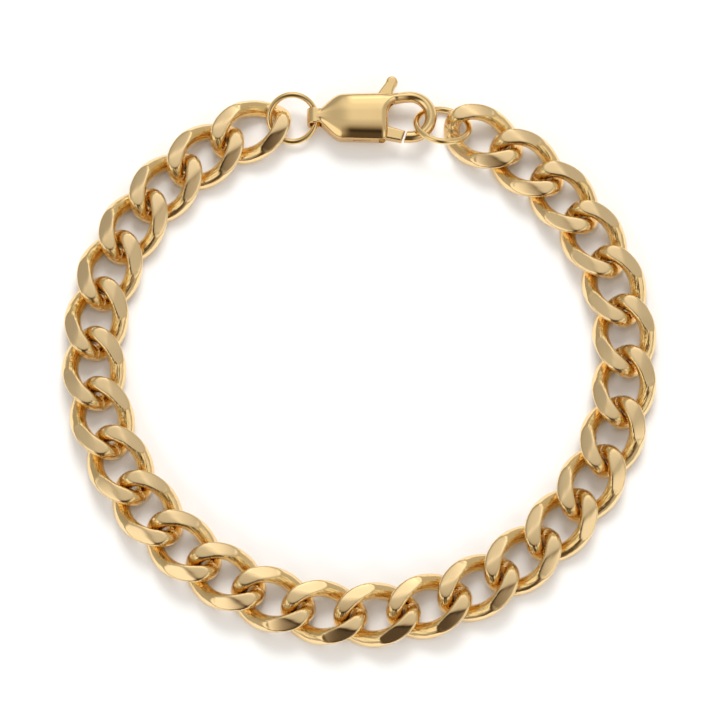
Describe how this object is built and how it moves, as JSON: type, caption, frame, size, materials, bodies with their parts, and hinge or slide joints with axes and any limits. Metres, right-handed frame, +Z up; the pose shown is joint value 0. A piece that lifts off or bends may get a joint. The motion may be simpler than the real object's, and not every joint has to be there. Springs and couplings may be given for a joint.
{
  "type": "cuban link bracelet",
  "caption": "Closed loop of flattened, twisted oval chain links, joined by two jump rings to a lobster clasp with a sprung lever, worn round the wrist.",
  "frame": {"origin": "middle of the bounding box's bottom, on the surface that the bracelet lies on", "axes": "+Z up from the surface, +Y from the middle of the loop out past the clasp, +X from the left jump ring through the clasp to the right jump ring"},
  "size_m": [0.0748, 0.0736, 0.0049],
  "materials": {
    "link_metal": "polished",
    "ring_metal": "polished",
    "clasp_metal": "polished"
  },
  "bodies": {
    "bracelet": {"link_01": "link_metal", "link_02": "link_metal", "link_03": "link_metal", "link_04": "link_metal", "link_05": "link_metal", "link_06": "link_metal", "link_07": "link_metal", "link_08": "link_metal", "link_09": "link_metal", "link_10": "link_metal", "link_11": "link_metal", "link_12": "link_metal", "link_13": "link_metal", "link_14": "link_metal", "link_15": "link_metal", "link_16": "link_metal", "link_17": "link_metal", "link_18": "link_metal", "link_19": "link_metal", "link_20": "link_metal", "link_21": "link_metal", "link_22": "link_metal", "link_23": "link_metal", "link_24": "link_metal", "link_25": "link_metal", "link_26": "link_metal", "link_27": "link_metal", "link_28": "link_metal", "jump_ring_left": "ring_metal", "jump_ring_right": "ring_metal", "clasp_body": "clasp_metal"},
    "lever": {"clasp_lever": "clasp_metal"}
  },
  "joints": [
    {"name": "gate", "type": "hinge", "parent": "bracelet", "child": "lever", "pos_m": [0.00154, 0.02965, 0.00225], "axis": [0, 0, 1], "range_deg": [0, 40], "stiffness_Nm_per_rad": 0.005}
  ]
}
